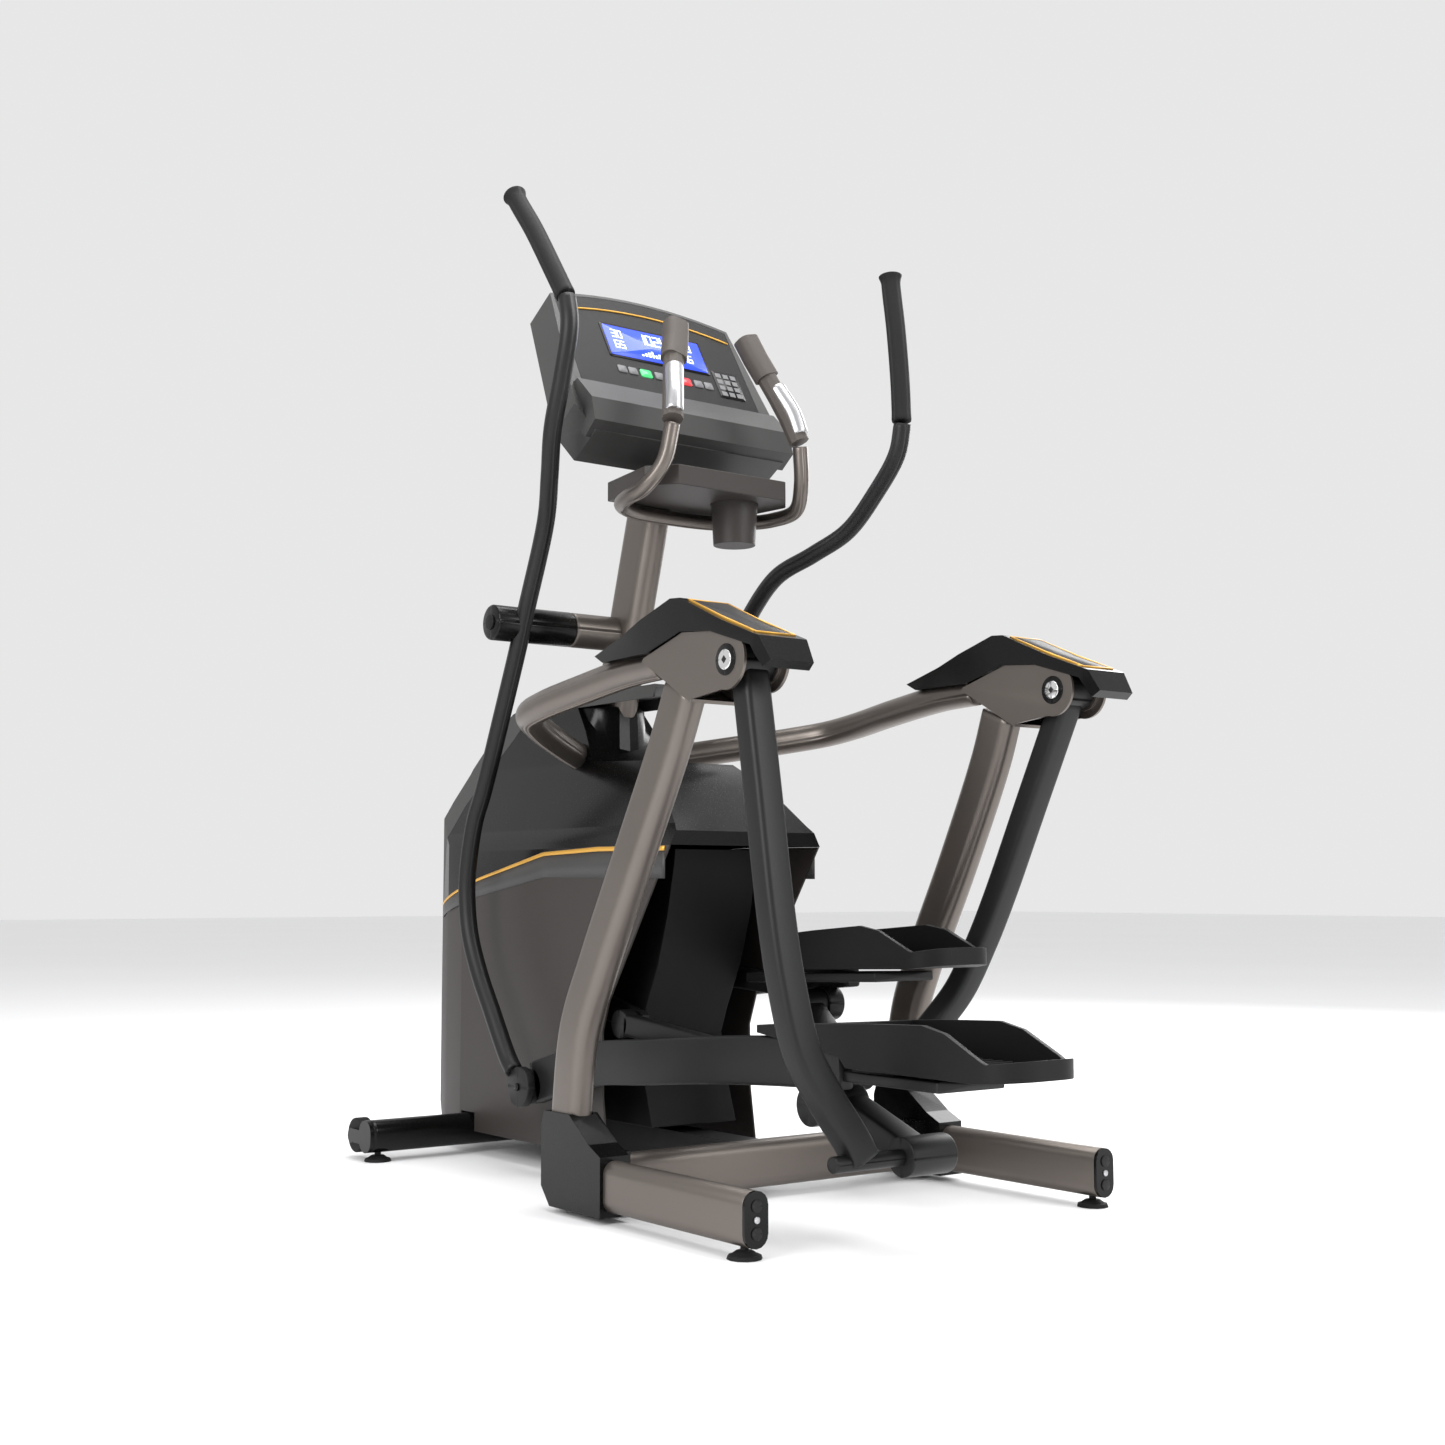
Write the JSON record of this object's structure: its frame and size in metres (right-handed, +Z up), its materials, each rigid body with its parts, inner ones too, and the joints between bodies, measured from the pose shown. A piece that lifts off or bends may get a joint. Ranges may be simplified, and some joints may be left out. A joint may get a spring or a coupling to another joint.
{
  "type": "elliptical trainer",
  "caption": "Suspended-pedal elliptical trainer with swing arms, linked moving handles, enclosed flywheel drive, console, tray and levelling feet.",
  "frame": {"origin": "on the floor, midway between the rearmost and foremost points and on the centre plane", "axes": "+Z up, +Y towards the drive casing at the front, +X to the right of a user who faces the console"},
  "size_m": [0.772, 1.798, 1.811],
  "materials": {
    "gunmetal_paint": "satin metallic",
    "black_paint": "satin",
    "chrome": "polished",
    "flywheel_steel": "turned",
    "black_plastic": "satin",
    "brown_plastic": "fine textured",
    "black_rubber": "matte",
    "taupe_rubber": "matte",
    "display_glass": "glossy"
  },
  "bodies": {
    "frame": {"rear_cross_tube": "gunmetal_paint", "front_foot_tube": "black_paint", "main_frame": "black_paint", "mast": "gunmetal_paint", "arm_axle": "black_paint", "drive_belt": "black_rubber", "nose_shell": "brown_plastic", "top_cover": "black_plastic", "rear_cover": "black_plastic", "console_housing": "brown_plastic", "console_panel": "black_plastic", "display_window": "display_glass", "tray": "brown_plastic", "cup_holder": "brown_plastic", "handlebar": "gunmetal_paint", "rear_foot_tube_left": "gunmetal_paint", "rear_foot_cap_left": "black_plastic", "floor_boot_left": "black_plastic", "rear_leg_left": "gunmetal_paint", "shoulder_bracket_left": "gunmetal_paint", "shoulder_cap_left": "black_plastic", "shoulder_axle_left": "chrome", "top_tube_left": "gunmetal_paint", "front_foot_cap_left": "black_plastic", "side_shell_left": "brown_plastic", "pulse_grip_left": "taupe_rubber", "rear_foot_tube_right": "gunmetal_paint", "rear_foot_cap_right": "black_plastic", "floor_boot_right": "black_plastic", "rear_leg_right": "gunmetal_paint", "shoulder_bracket_right": "gunmetal_paint", "shoulder_cap_right": "black_plastic", "shoulder_axle_right": "chrome", "top_tube_right": "gunmetal_paint", "front_foot_cap_right": "black_plastic", "side_shell_right": "brown_plastic", "pulse_grip_right": "taupe_rubber"},
    "swing_left": {"swing_arm_left": "black_paint"},
    "lift_left": {"lift_link_left": "black_paint"},
    "foot_link_left_body": {"foot_link_left": "black_paint", "pedal_left": "black_plastic"},
    "handle_left": {"handle_arm_left": "black_paint", "hand_grip_left": "black_rubber"},
    "wheel_left": {"transport_wheel_left": "black_rubber"},
    "foot_rear_left": {"levelling_foot_rear_left": "black_rubber"},
    "foot_front_left": {"levelling_foot_front_left": "black_rubber"},
    "swing_right": {"swing_arm_right": "black_paint"},
    "lift_right": {"lift_link_right": "black_paint"},
    "foot_link_right_body": {"foot_link_right": "black_paint", "pedal_right": "black_plastic"},
    "handle_right": {"handle_arm_right": "black_paint", "hand_grip_right": "black_rubber"},
    "wheel_right": {"transport_wheel_right": "black_rubber"},
    "foot_rear_right": {"levelling_foot_rear_right": "black_rubber"},
    "foot_front_right": {"levelling_foot_front_right": "black_rubber"},
    "crank_set": {"crank": "black_paint", "drive_pulley": "black_plastic"},
    "flywheel_set": {"flywheel": "flywheel_steel"},
    "start_button": {"start_key": "black_rubber"},
    "stop_button": {"stop_key": "black_rubber"}
  },
  "joints": [
    {"name": "left_swing", "type": "hinge", "parent": "frame", "child": "swing_left", "pos_m": [-0.339, -0.517, 0.847], "axis": [1, 0, 0], "range_deg": [-2, 38.2]},
    {"name": "left_lift", "type": "hinge", "parent": "swing_left", "child": "lift_left", "pos_m": [-0.12, -0.63865, 0.13532], "axis": [1, 0, 0], "range_deg": [-16.93, 1.36]},
    {"name": "left_foot_link", "type": "hinge", "parent": "lift_left", "child": "foot_link_left_body", "pos_m": [-0.18, -0.47865, 0.19532], "axis": [1, 0, 0], "range_deg": [-24.59, 1.76]},
    {"name": "left_handle", "type": "hinge", "parent": "frame", "child": "handle_left", "pos_m": [-0.21, 0.323, 1.008], "axis": [1, 0, 0], "range_deg": [-2.08, 30.77]},
    {"name": "right_swing", "type": "hinge", "parent": "frame", "child": "swing_right", "pos_m": [0.339, -0.517, 0.847], "axis": [1, 0, 0], "range_deg": [-38.7, 2.5]},
    {"name": "right_lift", "type": "hinge", "parent": "swing_right", "child": "lift_right", "pos_m": [0.12, -0.19484, 0.20086], "axis": [1, 0, 0], "range_deg": [-1.36, 16.93]},
    {"name": "right_foot_link", "type": "hinge", "parent": "lift_right", "child": "foot_link_right_body", "pos_m": [0.18, -0.06625, 0.31339], "axis": [1, 0, 0], "range_deg": [-1.76, 24.59]},
    {"name": "right_handle", "type": "hinge", "parent": "frame", "child": "handle_right", "pos_m": [0.21, 0.323, 1.008], "axis": [1, 0, 0], "range_deg": [-30.77, 2.08]},
    {"name": "crank_spin", "type": "hinge", "parent": "frame", "child": "crank_set", "pos_m": [0, 0.31661, 0.32775], "axis": [1, 0, 0], "continuous": true},
    {"name": "flywheel_spin", "type": "hinge", "parent": "frame", "child": "flywheel_set", "pos_m": [0, 0.693, 0.33], "axis": [1, 0, 0], "continuous": true},
    {"name": "left_wheel_spin", "type": "hinge", "parent": "frame", "child": "wheel_left", "pos_m": [-0.364, 0.687, 0.044], "axis": [1, 0, 0], "continuous": true},
    {"name": "right_wheel_spin", "type": "hinge", "parent": "frame", "child": "wheel_right", "pos_m": [0.364, 0.687, 0.044], "axis": [1, 0, 0], "continuous": true},
    {"name": "left_rear_foot_screw", "type": "slide", "parent": "frame", "child": "foot_rear_left", "axis": [0, 0, 1], "range_m": [-0.012, 0.003]},
    {"name": "left_front_foot_screw", "type": "slide", "parent": "frame", "child": "foot_front_left", "axis": [0, 0, 1], "range_m": [-0.012, 0.003]},
    {"name": "right_rear_foot_screw", "type": "slide", "parent": "frame", "child": "foot_rear_right", "axis": [0, 0, 1], "range_m": [-0.012, 0.003]},
    {"name": "right_front_foot_screw", "type": "slide", "parent": "frame", "child": "foot_front_right", "axis": [0, 0, 1], "range_m": [-0.012, 0.003]},
    {"name": "start_press", "type": "slide", "parent": "frame", "child": "start_button", "axis": [0, 0.866, -0.5], "range_m": [0, 0.0012], "stiffness_N_per_m": 600, "springref_m": -0.001},
    {"name": "stop_press", "type": "slide", "parent": "frame", "child": "stop_button", "axis": [0, 0.866, -0.5], "range_m": [0, 0.0012], "stiffness_N_per_m": 600, "springref_m": -0.001}
  ],
  "couplings": [
    {"joint": "left_lift", "follows": "left_swing", "ratio": -0.43},
    {"joint": "left_foot_link", "follows": "left_swing", "ratio": -0.63065},
    {"joint": "left_handle", "follows": "left_swing", "ratio": 0.79247},
    {"joint": "right_swing", "follows": "left_swing", "ratio": -1},
    {"joint": "right_lift", "follows": "left_swing", "ratio": 0.43},
    {"joint": "right_foot_link", "follows": "left_swing", "ratio": 0.63065},
    {"joint": "right_handle", "follows": "left_swing", "ratio": -0.79247},
    {"joint": "flywheel_spin", "follows": "crank_spin", "ratio": 5.3571}
  ]
}
